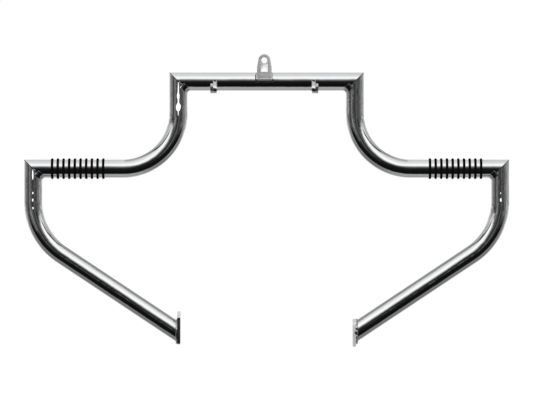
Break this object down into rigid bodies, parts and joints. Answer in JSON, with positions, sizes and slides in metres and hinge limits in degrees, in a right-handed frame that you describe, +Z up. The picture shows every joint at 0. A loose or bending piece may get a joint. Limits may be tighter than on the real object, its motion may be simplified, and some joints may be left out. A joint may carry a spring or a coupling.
{
  "type": "motorcycle crash bar",
  "caption": "Chromed one-piece crash bar for a motorcycle, bent from round tube, with mitred corners, rubber-ringed foot rests, flange plates and a top bracket.",
  "frame": {"origin": "centre of the bolt hole in the top bracket, on the bracket's back face", "axes": "+X to the right as seen from the front, along the bar's width; +Y to the rear of the motorcycle; +Z up"},
  "size_m": [0.8468, 0.0741, 0.51],
  "materials": {
    "chrome": "polished",
    "weld": "rippled",
    "bolt": "zinc plated",
    "rubber": "matt"
  },
  "bodies": {
    "root": {"top_tube": "chrome", "top_bracket": "chrome", "top_bracket_weld": "weld", "left_side_tube": "chrome", "right_side_tube": "chrome", "left_leg_tube": "chrome", "right_leg_tube": "chrome", "left_flange": "chrome", "right_flange": "chrome", "left_flange_weld": "weld", "right_flange_weld": "weld", "left_top_corner_weld": "weld", "right_top_corner_weld": "weld", "left_foot_corner_weld": "weld", "right_foot_corner_weld": "weld", "left_lug": "chrome", "right_lug": "chrome", "left_lug_weld": "weld", "right_lug_weld": "weld", "left_lug_bolt": "bolt", "right_lug_bolt": "bolt", "left_foot_ring_01": "rubber", "left_foot_ring_02": "rubber", "left_foot_ring_03": "rubber", "left_foot_ring_04": "rubber", "left_foot_ring_05": "rubber", "left_foot_ring_06": "rubber", "left_foot_ring_07": "rubber", "left_foot_ring_08": "rubber", "left_foot_ring_09": "rubber", "left_foot_ring_10": "rubber", "right_foot_ring_01": "rubber", "right_foot_ring_02": "rubber", "right_foot_ring_03": "rubber", "right_foot_ring_04": "rubber", "right_foot_ring_05": "rubber", "right_foot_ring_06": "rubber", "right_foot_ring_07": "rubber", "right_foot_ring_08": "rubber", "right_foot_ring_09": "rubber", "right_foot_ring_10": "rubber"}
  },
  "joints": []
}
